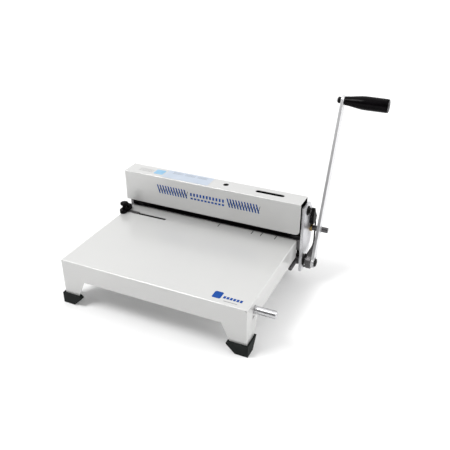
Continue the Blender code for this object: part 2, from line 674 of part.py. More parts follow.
def make_yoke(name, x, carriage):
    """A closed window for the eccentric with a link that rises to the press bar."""
    rise = ECCENTRICITY * math.sin(LEVER_SWING / 2)
    low = SHAFT_Z + rise - DISC_R - YOKE_PLAY
    high = SHAFT_Z + rise + DISC_R + YOKE_PLAY
    top = high + YOKE_WALL
    front, rear = YOKE_Y[0] - YOKE_WALL, YOKE_Y[1] + YOKE_WALL
    outline = [(front, low - YOKE_WALL), (rear, low - YOKE_WALL), (rear, top), (LINK_Y[1], top)]
    outline += [(LINK_Y[1], LINK_TOP), (LINK_Y[0], LINK_TOP), (LINK_Y[0], top), (front, top)]
    yoke = add_object(name, prism("X", x, x + YOKE_T, outline), DARK_STEEL, carriage)
    window = box((x - 2 * MM, x + YOKE_T + 2 * MM), YOKE_Y, (low, high))
    cut(yoke, cutter(name + "_window", window, carriage))


def make_punch_row(carriage):
    """The retainer strip and its punches are one solid, pins pointing down."""
    low, high = PRESS_LOW - 5 * MM, PRESS_LOW - GAP
    first, last = punch_positions()[0], punch_positions()[-1]
    strip = box((first - 8 * MM, last + 8 * MM), (PUNCH_Y - 7 * MM, PUNCH_Y + 7 * MM), (low, high))
    row = add_object("punch_row", strip, STEEL, carriage)
    pins = cutter("punch_pins", hole_row(PUNCH_TIP, low + 2 * MM, PUNCH_RADIUS), carriage)
    join = row.modifiers.new("pins", "BOOLEAN")
    join.operation = "UNION"
    join.solver = "EXACT"
    join.object = pins


def make_carriage(carriage):
    for name, x in zip(("yoke_left", "yoke_right"), YOKE_X):
        make_yoke(name, x, carriage)
    inner = (YOKE_X[0] + YOKE_T + GAP, YOKE_X[1] - GAP)
    press = box(inner, (PUNCH_Y - 8 * MM, PUNCH_Y + 8 * MM), (PRESS_LOW, PRESS_TOP))
    add_object("press_bar", press, STEEL, carriage)
    make_punch_row(carriage)
    right = YOKE_X[1] + YOKE_T + GAP
    add_object("yoke_bolt_right", bolt_head(4 * MM, 5 * MM), STEEL, carriage, (right, PUNCH_Y, YOKE_BOLT_Z))
    left = bolt_head(4 * MM, 5 * MM)
    bmesh.ops.scale(left, vec=(-1, 1, 1), verts=left.verts)
    place = (YOKE_X[0] - GAP, PUNCH_Y, YOKE_BOLT_Z)
    add_object("yoke_bolt_left", left, STEEL, carriage, place)


# Edge guide ---------------------------------------------------------------------

def make_guide_rail():
    """A channel under the table's slot, in which the runner's head slides."""
    top = TABLE_TOP - SHEET - GAP
    rail_x = (SLOT_START - 12 * MM, SLOT_END + 9 * MM)
    rail_y = (SLOT_Y - 9 * MM, SLOT_Y + 9 * MM)
    rail = add_object("guide_rail", box(rail_x, rail_y, (RAIL_LOW, top)), BLACKENED, MACHINE)
    room_x = (SLOT_START - 2 * MM, SLOT_END + 3 * MM)
    room_y = (SLOT_Y - 6 * MM, SLOT_Y + 6 * MM)
    cut(rail, cutter("rail_channel", box(room_x, room_y, (RAIL_LOW + 2.5 * MM, top + 3 * MM)), MACHINE))


def make_edge_guide(guide, knob):
    """A block with a low round nose under the knob and a higher back."""
    base = TABLE_TOP + GAP
    half = 7.5 * MM
    back_y = 246 * MM
    nose = arc((KNOB_X, 219 * MM), half, 180, 360, 10) + [(KNOB_X + half, back_y), (KNOB_X - half, back_y)]
    block = add_object("edge_guide_block", prism("Z", base, base + 8 * MM, nose), BLACK_PLASTIC, guide)
    back_x = (KNOB_X - half + 1 * MM, KNOB_X + half - 1 * MM)
    back = box(back_x, (234 * MM, 245 * MM), (base + 3 * MM, base + 12 * MM))
    add_back = cutter("guide_block_back", back, guide)
    join = block.modifiers.new("back", "BOOLEAN")
    join.operation = "UNION"
    join.solver = "EXACT"
    join.object = add_back
    bore = pin(base + 3 * MM, base + 10 * MM, 3.4 * MM, 16, "Z")
    cut(block, cutter("knob_bore", bore, guide, (KNOB_X, KNOB_Y, 0)))
    strip_x = (KNOB_X + half + GAP, 38 * MM)
    strip_y = (SLOT_Y - 3.8 * MM, SLOT_Y + 3.8 * MM)
    strip = add_object("guide_slide_strip", box(strip_x, strip_y, (base, base + 1.5 * MM)), ZINC, guide)
    low = TABLE_TOP - SHEET - GAP
    runner = [(low - 3 * MM, 0), (low - 3 * MM, 5 * MM), (low, 5 * MM), (low, 2.1 * MM)]
    runner += [(base - GAP / 2, 2.1 * MM), (base - GAP / 2, 0)]
    smooth(add_object("guide_runner", turned(runner, 16, "Z"), STEEL, guide, (32 * MM, SLOT_Y, 0)))
    z = base + 3.4 * MM
    top = base + 8 * MM + GAP
    shape = [(z, 0), (z, 3 * MM), (top, 3 * MM), (top, 6.4 * MM), (top + 3 * MM, 4.8 * MM)]
    shape += [(top + 7 * MM, 5 * MM), (top + 8.6 * MM, 8.4 * MM), (top + 10.2 * MM, 9 * MM)]
    shape += [(top + 13.2 * MM, 8.6 * MM), (top + 14.6 * MM, 6.6 * MM), (top + 15 * MM, 0)]
    smooth(add_object("guide_knob", turned(shape, 20, "Z"), BLACK_PLASTIC, knob))
    return strip


def stand_on_origin():
    """Move the machine so that its box stands centred on the world origin."""
    bpy.context.view_layer.update()
    graph = bpy.context.evaluated_depsgraph_get()
    points = []
    for item in bpy.context.scene.objects:
        if item.type == "EMPTY" or item.hide_render:
            continue
        ready = item.evaluated_get(graph)
        mesh = ready.to_mesh()
        points += [ready.matrix_world @ vertex.co for vertex in mesh.vertices]
        ready.to_mesh_clear()
    low = [min(point[axis] for point in points) for axis in range(3)]
    high = [max(point[axis] for point in points) for axis in range(3)]
    MACHINE.location = (-(low[0] + high[0]) / 2, -(low[1] + high[1]) / 2, -low[2])


def build():
    make_frame()
    make_plates()
    make_bars()
    make_cover()
    make_stops()
    make_spring()
    shaft = empty("shaft_axis", MACHINE, (0, SHAFT_Y, SHAFT_Z))
    grip_place = Matrix.Rotation(-LEVER_LEAN, 4, "X") @ Vector((0, 0, LEVER_LENGTH))
    spin = empty("grip_axis", shaft, grip_place)
    make_shaft(shaft)
    make_lever(shaft)
    make_grip(shaft, spin)
    carriage = empty("punch_carriage_axis", MACHINE, (0, 0, 0))
    make_carriage(carriage)
    make_guide_rail()
    guide = empty("edge_guide_axis", MACHINE, (0, 0, 0))
    knob = empty("guide_knob_axis", guide, (KNOB_X, KNOB_Y, 0))
    make_edge_guide(guide, knob)
    stand_on_origin()


build()
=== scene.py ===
import json
import math

import bmesh
import bpy
from mathutils import Matrix, Vector


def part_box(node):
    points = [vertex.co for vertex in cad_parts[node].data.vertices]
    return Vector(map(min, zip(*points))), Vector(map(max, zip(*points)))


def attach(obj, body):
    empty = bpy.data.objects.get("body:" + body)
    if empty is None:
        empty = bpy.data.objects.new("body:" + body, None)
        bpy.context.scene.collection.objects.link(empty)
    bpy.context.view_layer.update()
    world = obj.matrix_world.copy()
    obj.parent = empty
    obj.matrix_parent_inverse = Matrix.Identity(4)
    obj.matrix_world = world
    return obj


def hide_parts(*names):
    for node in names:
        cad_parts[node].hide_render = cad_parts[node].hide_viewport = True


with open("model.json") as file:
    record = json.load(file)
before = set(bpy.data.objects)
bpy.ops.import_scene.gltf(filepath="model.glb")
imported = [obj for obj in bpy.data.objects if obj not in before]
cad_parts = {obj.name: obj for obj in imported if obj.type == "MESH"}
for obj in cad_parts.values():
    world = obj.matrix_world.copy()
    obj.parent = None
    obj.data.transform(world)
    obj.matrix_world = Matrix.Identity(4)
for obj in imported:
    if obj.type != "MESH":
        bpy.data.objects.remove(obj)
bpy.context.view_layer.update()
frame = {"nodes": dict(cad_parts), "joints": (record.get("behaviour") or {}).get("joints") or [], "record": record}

# Lengths in this script are millimetres from the table's left front corner at desk height,
# and loose() turns them into the frame's metres.
MM = 0.001
NODES = frame["nodes"]
RECORD = frame["record"]
JOINTS = {joint["name"]: joint for joint in frame["joints"]}
BODY_OF = {node: body for body, nodes in RECORD["behaviour"]["bodies"].items() for node in nodes}
SLOT_OF = {part["node"]: part["material_slot"] for part in RECORD["subparts"]}
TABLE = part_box("table_tray")
ORIGIN = Vector((TABLE[0].x, TABLE[0].y, 0.0))
TO_FRAME = Matrix.Translation(ORIGIN) @ Matrix.Scale(MM, 4)


def to_mm(point):
    """A point of the frame in this script's millimetres."""
    return (Vector(point) - ORIGIN) / MM


def span(node):
    """The lowest and highest corner of a CAD node, in millimetres."""
    low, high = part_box(node)
    return to_mm(low), to_mm(high)


SHAFT = to_mm(JOINTS["lever_swing"]["pos_m"])
GRIP = to_mm(JOINTS["grip_spin"]["pos_m"])
LEVER_LENGTH = math.hypot(GRIP.y - SHAFT.y, GRIP.z - SHAFT.z)
LEVER_LEAN = math.atan2(GRIP.y - SHAFT.y, GRIP.z - SHAFT.z)
ON_LEVER = Matrix.Translation((0, SHAFT.y, SHAFT.z)) @ Matrix.Rotation(-LEVER_LEAN, 4, "X")
TABLE_WIDTH = (TABLE[1].x - TABLE[0].x) / MM
TABLE_TOP = TABLE[1].z / MM

# ---------------------------------------------------------------- materials


def node(tree, kind, inputs=None, **settings):
    """A shader node with its settings, its input values and its incoming links."""
    made = tree.nodes.new(kind)
    for name, value in settings.items():
        setattr(made, name, value)
    for name, value in (inputs or {}).items():
        if isinstance(value, bpy.types.NodeSocket):
            tree.links.new(value, made.inputs[name])
        else:
            made.inputs[name].default_value = value
    return made


def noise(tree, scale, detail, turn=(0, 0, 0)):
    """Noise in the piece's own space; scale is a number of features per metre along each axis."""
    place = node(tree, "ShaderNodeTexCoord").outputs["Object"]
    spin = node(tree, "ShaderNodeMapping", {"Vector": place, "Rotation": turn}).outputs["Vector"]
    spread = node(tree, "ShaderNodeMapping", {"Vector": spin, "Scale": scale}).outputs["Vector"]
    return node(tree, "ShaderNodeTexNoise", {"Vector": spread, "Scale": 1.0, "Detail": detail}).outputs["Fac"]


def finish(name, dark, light, rough, metallic=0.0, cloud=14.0, grain=(900, 900, 900), depth=0.01,
           streak=0.25, turn=(0, 0, 0), coat=0.0, specular=0.5):
    """A material whose colour, roughness and relief all come from two scales of noise.

    dark and light are the ends of its colour, rough the ends of its roughness, cloud the size of its slow
    changes per metre, grain that of its fine texture, depth the height of that texture in millimetres,
    streak the share of the colour that follows the grain, and turn the lean of the grain.
    """
    made = bpy.data.materials.new(name)
    made.use_nodes = True
    tree = made.node_tree
    shader = tree.nodes["Principled BSDF"]
    shader.inputs["Metallic"].default_value = metallic
    shader.inputs["Coat Weight"].default_value = coat
    shader.inputs["Coat Roughness"].default_value = 0.12
    shader.inputs["Specular IOR Level"].default_value = specular
    slow = noise(tree, (cloud, cloud, cloud), 3.0, turn)
    fine = noise(tree, grain, 4.0, turn)
    both = node(tree, "ShaderNodeMix", data_type="FLOAT")
    both.inputs["Factor"].default_value = streak
    tree.links.new(slow, both.inputs["A"])
    tree.links.new(fine, both.inputs["B"])
    share = node(tree, "ShaderNodeMapRange", {"Value": both.outputs["Result"], "From Min": 0.32,
                                              "From Max": 0.68})
    ramp = node(tree, "ShaderNodeValToRGB", {"Fac": share.outputs["Result"]})
    ramp.color_ramp.elements[0].color = (*dark, 1)
    ramp.color_ramp.elements[1].color = (*light, 1)
    tree.links.new(ramp.outputs["Color"], shader.inputs["Base Color"])
    low, high = rough
    level = node(tree, "ShaderNodeMapRange", {"Value": fine, "From Min": 0.3, "From Max": 0.7,
                                              "To Min": low, "To Max": high})
    tree.links.new(level.outputs["Result"], shader.inputs["Roughness"])
    relief = node(tree, "ShaderNodeBump", {"Height": fine, "Strength": 1.0, "Distance": depth * MM})
    tree.links.new(relief.outputs["Normal"], shader.inputs["Normal"])
    return made


# Features per metre of brushed metal, across its lines and along them
ACROSS = 2600
ALONG = 45
PAINT = finish("silver_grey_paint", (0.545, 0.545, 0.54), (0.575, 0.575, 0.565), (0.34, 0.46), 0.22,
               cloud=7, grain=(1500, 1500, 1500), depth=0.018, streak=0.5, coat=0.9)
STEEL_X = finish("steel_turned", (0.42, 0.42, 0.43), (0.62, 0.62, 0.63), (0.22, 0.4), 1.0,
                 grain=(ACROSS, ALONG, ALONG), depth=0.006, streak=0.6)
STEEL_BAR = finish("steel_brushed", (0.5, 0.5, 0.51), (0.64, 0.64, 0.65), (0.24, 0.42), 1.0,
                   grain=(ALONG, ACROSS, ACROSS), depth=0.005, streak=0.6)
STEEL_LEVER = finish("steel_lever", (0.68, 0.68, 0.69), (0.78, 0.78, 0.79), (0.3, 0.44), 0.85,
                     grain=(ACROSS, ACROSS, ALONG), depth=0.004, streak=0.6, turn=(-LEVER_LEAN, 0, 0))
ZINC = finish("zinc_plate", (0.64, 0.64, 0.66), (0.80, 0.80, 0.82), (0.26, 0.42), 0.85,
              cloud=60, grain=(700, 700, 700), depth=0.006, streak=0.35)
DARK_STEEL = finish("dark_steel", (0.10, 0.098, 0.10), (0.19, 0.185, 0.19), (0.34, 0.5), 1.0,
                    cloud=50, grain=(1300, 1300, 1300), depth=0.012, streak=0.5)
BLACKENED = finish("blackened_steel", (0.003, 0.003, 0.003), (0.010, 0.009, 0.009), (0.38, 0.6),
                   cloud=80, grain=(1200, 1200, 1200), depth=0.01, streak=0.4, specular=0.12)
BRASS = finish("brass", (0.50, 0.33, 0.11), (0.72, 0.52, 0.22), (0.22, 0.38), 1.0,
               grain=(ACROSS, ALONG, ALONG), depth=0.005, streak=0.5)
RUBBER = finish("rubber", (0.003, 0.004, 0.004), (0.010, 0.013, 0.012), (0.5, 0.75),
                cloud=60, grain=(1100, 1100, 1100), depth=0.04, streak=0.5, specular=0.16)
PLASTIC = finish("black_plastic", (0.001, 0.001, 0.001), (0.004, 0.003, 0.004), (0.18, 0.3),
                 cloud=40, grain=(1700, 1700, 1700), depth=0.008, streak=0.4, specular=0.06)
INK = finish("blue_ink", (0.008, 0.05, 0.23), (0.016, 0.08, 0.34), (0.6, 0.75), specular=0.1)
GREY_INK = finish("grey_ink", (0.16, 0.16, 0.17), (0.24, 0.24, 0.25), (0.45, 0.6), grain=(1500, 1500, 1500))
BLACK_INK = finish("black_ink", (0.010, 0.010, 0.010), (0.03, 0.03, 0.03), (0.6, 0.75), specular=0.1)
LABEL = finish("pale_blue_label", (0.40, 0.46, 0.54), (0.46, 0.51, 0.59), (0.4, 0.5), cloud=30)
CYAN = finish("cyan_print", (0.16, 0.36, 0.55), (0.28, 0.47, 0.62), (0.4, 0.5), cloud=60)

FINISH_OF = {
    "painted_sheet": PAINT,
    "bright_steel": STEEL_BAR,
    "dark_steel": DARK_STEEL,
    "zinc_plate": ZINC,
    "brass": BRASS,
    "rubber": RUBBER,
    "black_plastic": PLASTIC,
    "blackened_steel": BLACKENED,
}

# ---------------------------------------------------------------- shapes


def arc(centre, radius, start, end, steps):
    """Points along an arc between two angles in degrees."""
    turn = math.radians(end - start) / steps
    angles = [math.radians(start) + turn * step for step in range(steps + 1)]
    return [(centre[0] + radius * math.cos(angle), centre[1] + radius * math.sin(angle)) for angle in angles]


def capsule(x, y, half, steps):
    """A slot's outline along X, with round ends."""
    return arc((x[1] - half, y), half, -90, 90, steps) + arc((x[0] + half, y), half, 90, 270, steps)


def to_axis(axis, along, point):
    """The place of a point of the plane across the axis."""
    u, v = point
    return {"X": (along, u, v), "Y": (u, along, v), "Z": (u, v, along)}[axis]


def prism(axis, low, high, outline):
    """A closed outline in the plane across the axis, drawn out from low to high."""
    bm = bmesh.new()
    ends = [[bm.verts.new(to_axis(axis, along, point)) for point in outline] for along in (low, high)]
    for end in ends:
        bm.faces.new(end)
    count = len(outline)
    for step in range(count):
        after = (step + 1) % count
        bm.faces.new([ends[0][step], ends[0][after], ends[1][after], ends[1][step]])
    return bm


def box(x, y, z):
    """A block from its ranges along the three axes."""
    return prism("Z", z[0], z[1], [(x[0], y[0]), (x[1], y[0]), (x[1], y[1]), (x[0], y[1])])


def turned(profile, sides=64, axis="X", centre=(0, 0), wave=None):
    """A profile of (place along the axis, radius) turned round it; wave(angle, along) scales the radius."""
    bm = bmesh.new()
    rings = []
    for along, radius in profile:
        if radius <= 0:
            rings.append([bm.verts.new(to_axis(axis, along, centre))])
            continue
        ring = []
        for step in range(sides):
            angle = math.tau * step / sides
            reach = radius * (wave(angle, along) if wave else 1.0)
            point = (centre[0] + reach * math.cos(angle), centre[1] + reach * math.sin(angle))
            ring.append(bm.verts.new(to_axis(axis, along, point)))
        rings.append(ring)
    closed = profile[0][1] > 0 and profile[-1][1] > 0
    pairs = list(zip(rings, rings[1:]))
    if closed:
        pairs.append((rings[-1], rings[0]))
    for one, two in pairs:
        for step in range(sides):
            after = (step + 1) % sides
            near = [one[step % len(one)], one[after % len(one)]]
            far = [two[after % len(two)], two[step % len(two)]]
            face = list(dict.fromkeys(near + far))
            if len(face) > 2:
                bm.faces.new(face)
    return bm


def chamfered(low, high, radius, edge, bore=0.0):
    """The profile of a bar or a sleeve whose ends have rounded edges."""
    first = [(low, radius - edge), (low + edge * 0.3, radius - edge * 0.3), (low + edge, radius)]
    last = [(high - edge, radius), (high - edge * 0.3, radius - edge * 0.3), (high, radius - edge)]
    if bore:
        return [(low, bore + edge / 2), *first, *last, (high, bore + edge / 2), (high - edge / 2, bore),
                (low + edge / 2, bore)]
    return [(low, 0), *first, *last, (high, 0)]


def merge(*parts):
    """One bmesh from several."""
    whole = bmesh.new()
    for part in parts:
        mesh = bpy.data.meshes.new("part")
        part.to_mesh(mesh)
        part.free()
        whole.from_mesh(mesh)
        bpy.data.meshes.remove(mesh)
    return whole


def loose(name, bm, place=None):
    """An object in the frame from a bmesh in millimetres."""
    bmesh.ops.recalc_face_normals(bm, faces=bm.faces)
    bmesh.ops.transform(bm, matrix=TO_FRAME @ (place or Matrix()), verts=bm.verts)
    mesh = bpy.data.meshes.new(name)
    bm.to_mesh(mesh)
    bm.free()
    made = bpy.data.objects.new(name, mesh)
    bpy.context.scene.collection.objects.link(made)
    return made


def boolean(item, operation, bm, place=None):
    """Adds or takes away a closed shape; settle() applies it and removes the tool."""
    tool = loose(item.name + "_tool", bm, place)
    tool.hide_render = True
    change = item.modifiers.new(operation.lower(), "BOOLEAN")
    change.operation = operation
    change.solver = "EXACT"
    change.object = tool


def drill(item, low, high, radius, axis="X", centre=(0, 0), sides=64, place=None):
    """Takes a round hole out of a piece."""
    hole = [(low, 0), (low, radius), (high, radius), (high, 0)]
    boolean(item, "DIFFERENCE", turned(hole, sides, axis, centre), place)


def round_edges(item, width, segments=3, angle=35):
    """Breaks the edges sharper than the angle; width in millimetres."""
    edge = item.modifiers.new("edges", "BEVEL")
    edge.width = width * MM
    edge.segments = segments
    edge.limit_method = "ANGLE"
    edge.angle_limit = math.radians(angle)
    return edge


def apply_modifiers(item):
    """Replaces the item's mesh by what its modifiers make of it."""
    bpy.context.view_layer.update()
    graph = bpy.context.evaluated_depsgraph_get()
    mesh = bpy.data.meshes.new_from_object(item.evaluated_get(graph))
    item.modifiers.clear()
    item.data = mesh
    return mesh


def settle(item, sharp=40):
    """Applies the modifiers, removes their tools and shades smooth up to an angle, flat faces flat."""
    tools = [change.object for change in item.modifiers if change.type == "BOOLEAN"]
    mesh = apply_modifiers(item)
    for tool in tools:
        bpy.data.objects.remove(tool, do_unlink=True)
    mesh.polygons.foreach_set("use_smooth", [True] * len(mesh.polygons))
    mesh.set_sharp_from_angle(angle=math.radians(sharp))
    normals = item.modifiers.new("normals", "WEIGHTED_NORMAL")
    normals.keep_sharp = True
    normals.weight = 100
    apply_modifiers(item)


def stand_in(item, material, *nodes, body=None, slot=None, sharp=40):
    """The finished piece: it takes its body from the CAD nodes that it replaces; its slot argument is not used.

    A piece whose faces already have their materials comes with None for the material.
    """
    settle(item, sharp)
    if material:
        item.data.materials.clear()
        item.data.materials.append(material)
    if nodes:
        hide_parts(*nodes)
        body = BODY_OF[nodes[0]]
    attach(item, body)


def make_piece(name, bm, material, *nodes, edge=0.0, **where):
    """A piece from one shape, with its edges rounded where an edge is given."""
    item = loose(name, bm)
    if edge:
        round_edges(item, edge)
    stand_in(item, material, *nodes, **where)


# ---------------------------------------------------------------- folded sheet metal

# Thickness of the table's sheet, the outer radius of its bends and the rounding of its cut edges
SHEET = 1.5
BEND = 2.4
REAR_BEND = 1.6
SHEET_EDGE = 0.3
# The table's skirts, its legs and its holes
SKIRT_LOW = 59.6
SIDE_DEPTH = 264
LEG_LOW = 22
LEG_WIDE = 50
LEG_NARROW = 33.5
SLOT_X = (20, 107.5)
SLOT_Y = 230
SLOT_HALF = 3.75
ROD_HOLE = 7.9
RELIEF_HOLE = 1.3
FLANGE_TOP = 73
# The head's cover
COVER_SHEET = 1.2
COVER_BEND = 1.8
COVER_EDGE = 0.25
COVER_LOW = 118.6
COVER_CORNER = 9
COVER_HOLE = 6
COVER_HOLE_AT = (231, 280)
COVER_SLOT_X = (300, 363.5)
COVER_SLOT_Y = 278.5
COVER_SLOT_HALF = 5
# Reach of a hole's cutter below and above a face
BELOW = 10
ABOVE = 5


def folded_sheet(name, faces, thickness, bend, segments=6):
    """A folded sheet from its outer faces; its bends are rounded and the thickness goes inwards."""
    bm = bmesh.new()
    for corners in faces:
        bm.faces.new([bm.verts.new(corner) for corner in corners])
    bmesh.ops.remove_doubles(bm, verts=bm.verts, dist=1e-3)
    bmesh.ops.recalc_face_normals(bm, faces=bm.faces)
    middle = sum((vert.co for vert in bm.verts), Vector()) / len(bm.verts)
    outward = sum(face.calc_area() * face.normal.dot(face.calc_center_median() - middle) for face in bm.faces)
    if outward < 0:
        bmesh.ops.reverse_faces(bm, faces=bm.faces)
    bmesh.ops.transform(bm, matrix=TO_FRAME, verts=bm.verts)
    mesh = bpy.data.meshes.new(name)
    bm.to_mesh(mesh)
    bm.free()
    sheet = bpy.data.objects.new(name, mesh)
    bpy.context.scene.collection.objects.link(sheet)
    round_edges(sheet, bend, segments, 60)
    wall = sheet.modifiers.new("sheet", "SOLIDIFY")
    wall.thickness = thickness * MM
    wall.offset = -1.0
    wall.use_even_offset = True
    wall.use_quality_normals = True
    return sheet


def leg_outline(near, inwards):
    """The tapered foot of a skirt's leg, from the skirt's end towards its middle."""
    return [(near, LEG_LOW), (near + inwards * LEG_NARROW, LEG_LOW), (near + inwards * LEG_WIDE, SKIRT_LOW)]


def make_table():
    """The folded table with its front legs, the guide's slot and the hole round the stop rod."""
    right, top = TABLE_WIDTH, TABLE_TOP
    front = [(0, 0, top)] + [(x, 0, z) for x, z in leg_outline(0, 1)]
    front += [(x, 0, z) for x, z in reversed(leg_outline(right, -1))] + [(right, 0, top)]
    faces = [front, [(0, 0, top), (right, 0, top), (right, SIDE_DEPTH, top), (0, SIDE_DEPTH, top)]]
    for x in (0, right):
        side = [(x, y, z) for y, z in leg_outline(0, 1)]
        faces.append(side + [(x, SIDE_DEPTH, SKIRT_LOW), (x, SIDE_DEPTH, top), (x, 0, top)])
    table = folded_sheet("table_shell", faces, SHEET, BEND)
    slot = capsule(SLOT_X, SLOT_Y, SLOT_HALF, 12)
    boolean(table, "DIFFERENCE", prism("Z", top - BELOW, top + ABOVE, slot))
    rod_low, rod_high = span("front_stop_rod")
    rod = ((rod_low.y + rod_high.y) / 2, (rod_low.z + rod_high.z) / 2)
    drill(table, right - BELOW, right + BELOW, ROD_HOLE, "X", rod)
    relief_from, relief_to = -3, 4
    drill(table, relief_from, relief_to, RELIEF_HOLE, "Y", (right - 2.2, top - 2), 24)
    round_edges(table, SHEET_EDGE, 2, 50)
    stand_in(table, PAINT, "table_tray")


def make_rear_panel():
    """The folded panel that carries the rear legs."""
    low, high = span("rear_leg_panel")
    left, right, rear = low.x, high.x, high.y
    outline = [(left, high.z)] + leg_outline(left, 1) + leg_outline(right, -1)[::-1] + [(right, high.z)]
    outline.insert(1, (left, FLANGE_TOP))
    outline.insert(-1, (right, FLANGE_TOP))
    faces = [[(x, rear, z) for x, z in reversed(outline)]]
    for x in (left, right):
        faces.append([(x, rear, LEG_LOW), (x, rear, FLANGE_TOP), (x, low.y, FLANGE_TOP), (x, low.y, LEG_LOW)])
    panel = folded_sheet("rear_panel_shell", faces, SHEET, REAR_BEND)
    round_edges(panel, SHEET_EDGE, 2, 50)
    stand_in(panel, PAINT, "rear_leg_panel")


def make_cover():
    """The head's cover, painted outside and black inside; the black inside is partly dark primer and partly
    painted shade of the head's dark interior.
    """
    low, high = span("head_cover")
    x0, x1, near, rear, top = low.x, high.x, low.y, high.y, high.z
    corner = (x1 - COVER_CORNER, COVER_LOW + COVER_CORNER)
    front = [(x0, near, top), (x0, near, COVER_LOW)]
    front += [(x, near, z) for x, z in arc(corner, COVER_CORNER, -90, 0, 10)]
    front.append((x1, near, top))
    faces = [front, [(x0, near, top), (x1, near, top), (x1, rear, top), (x0, rear, top)]]
    faces.append([(x0, rear, top), (x1, rear, top), (x1, rear, COVER_LOW), (x0, rear, COVER_LOW)])
    faces.append([(x0, near, top), (x0, rear, top), (x0, rear, COVER_LOW), (x0, near, COVER_LOW)])
    cover = folded_sheet("head_shell", faces, COVER_SHEET, COVER_BEND)
    # The inner wall takes the black material, partly as painted shade, so the head's inside looks dark through the
    # hole and the slot.
    cover.data.materials.append(PAINT)
    cover.data.materials.append(BLACKENED)
    cover.modifiers["sheet"].material_offset = 1
    drill(cover, top - BELOW, top + ABOVE, COVER_HOLE, "Z", COVER_HOLE_AT, 40)
    slot = capsule(COVER_SLOT_X, COVER_SLOT_Y, COVER_SLOT_HALF, 14)
    boolean(cover, "DIFFERENCE", prism("Z", top - BELOW, top + ABOVE, slot))
    round_edges(cover, COVER_EDGE, 2, 50)
    stand_in(cover, None, "head_cover")


# ---------------------------------------------------------------- feet

FOOT_WALL = 4
FOOT_ARM = 10
# Height, and the boot's reach along X and Y at that height
FOOT_LEVELS = ((0, 26, 24.4), (17, 43.8, 36.5), (20, 44.4, 38.7), (24, 38, 41.5))


def corner_outline(corner, out, wall, reach, arm):
    """An L round a leg's corner: two arms that start one wall outside it and run inwards."""
    x0, y0 = (corner[axis] + out[axis] * wall for axis in (0, 1))
    x1, y1 = x0 - out[0] * reach[0], y0 - out[1] * reach[1]
    inner_x, inner_y = x0 - out[0] * arm, y0 - out[1] * arm
    return [(x0, y0), (x1, y0), (x1, inner_y), (inner_x, inner_y), (inner_x, y1), (x0, y1)]


def make_boot(cad_node, out):
    """A rubber boot that flares to its rim, with the groove that takes the leg's sheet."""
    low, high = span(cad_node)
    corner = [(high[axis] if out[axis] > 0 else low[axis]) - out[axis] * FOOT_WALL for axis in (0, 1)]
    bm = bmesh.new()
    rims = []
    for z, wide, deep in FOOT_LEVELS:
        outline = corner_outline(corner, out, FOOT_WALL, (wide, deep), FOOT_ARM)
        rims.append([bm.verts.new((x, y, z)) for x, y in outline])
    bm.faces.new(rims[0])
    bm.faces.new(rims[-1])
    count = len(rims[0])
    for lower, upper in zip(rims, rims[1:]):
        for step in range(count):
            after = (step + 1) % count
            bm.faces.new([lower[step], lower[after], upper[after], upper[step]])
    boot = loose(cad_node + "_boot", bm)
    play, side_play, end_play = 0.3, 0.9, 1.5
    reach = LEG_NARROW + end_play
    groove = corner_outline(corner, out, play, (reach, reach), SHEET + side_play)
    boolean(boot, "DIFFERENCE", prism("Z", LEG_LOW - play, high.z + 2, groove))
    round_edges(boot, 0.7)
    stand_in(boot, RUBBER, cad_node)


# ---------------------------------------------------------------- turned pieces and fasteners

# Radii of the bores round the shaft, the thin pivots, the shaft's screw and stud, the rod and the pin
SHAFT_BORE = 8.35
PIVOT_BORE = 4.35
STUD_HOLE = 4.3
ROD_BORE = 7.85
PIN_BORE = 6.05


def axis_box(cad_node, axis):
    """(low, high, radius, centre) of a round CAD node that lies along an axis."""
    low, high = span(cad_node)
    index = "XYZ".index(axis)
    others = [other for other in range(3) if other != index]
    centre = tuple((low[other] + high[other]) / 2 for other in others)
    return low[index], high[index], (high[others[1]] - low[others[1]]) / 2, centre


def make_round(name, cad_node, material, edge, bore=0.0, sides=64):
    """A bar or sleeve along X in the place of a round CAD node."""
    low, high, radius, centre = axis_box(cad_node, "X")
    make_piece(name, turned(chamfered(low, high, radius, edge, bore), sides, "X", centre), material, cad_node)


def hexagon_head(low, high, radius, centre, twist=0.0):
    """A hexagonal bar along X; twist turns it about its axis."""
    angles = [math.radians(60 * step) + twist for step in range(6)]
    outline = [(centre[0] + radius * math.cos(angle), centre[1] + radius * math.sin(angle))
               for angle in angles]
    return prism("X", low, high, outline)


def dome(seat, top, radius, step):
    """The profile of a domed head from its seat to its top, in steps of some degrees."""
    profile = [(seat, 0), (seat, radius)]
    for angle in range(step, 90, step):
        turn = math.radians(angle)
        profile.append((seat + (top - seat) * math.sin(turn), radius * math.cos(turn)))
    return profile + [(top, 0)]


def make_rods():
    """The two bars that stop the lever."""
    low, high, radius, centre = axis_box("front_stop_rod", "X")
    profile = [(low, 0), (low, radius - 1), (low + 1, radius), (high - 1.4, radius)]
    profile += [(high - 0.9, radius - 0.15), (high - 0.3, radius - 0.6), (high, radius - 1.3)]
    profile += [(high - 0.4, radius - 2.6), (high - 0.4, 0)]
    make_piece("stop_rod", turned(profile, 96, "X", centre), STEEL_X, "front_stop_rod")
    low, high, radius, centre = axis_box("rear_stop_pin", "X")
    neck, shoulder = 4, span("rear_stop_bush")[0].x
    profile = [(low, 0), (low, neck - 0.6), (low + 0.6, neck), (shoulder, neck), (shoulder, radius)]
    profile += [(high - 0.8, radius), (high - 0.2, radius - 0.3), (high, radius - 0.9), (high, 0)]
    make_piece("stop_pin", turned(profile, 64, "X", centre), DARK_STEEL, "rear_stop_pin")


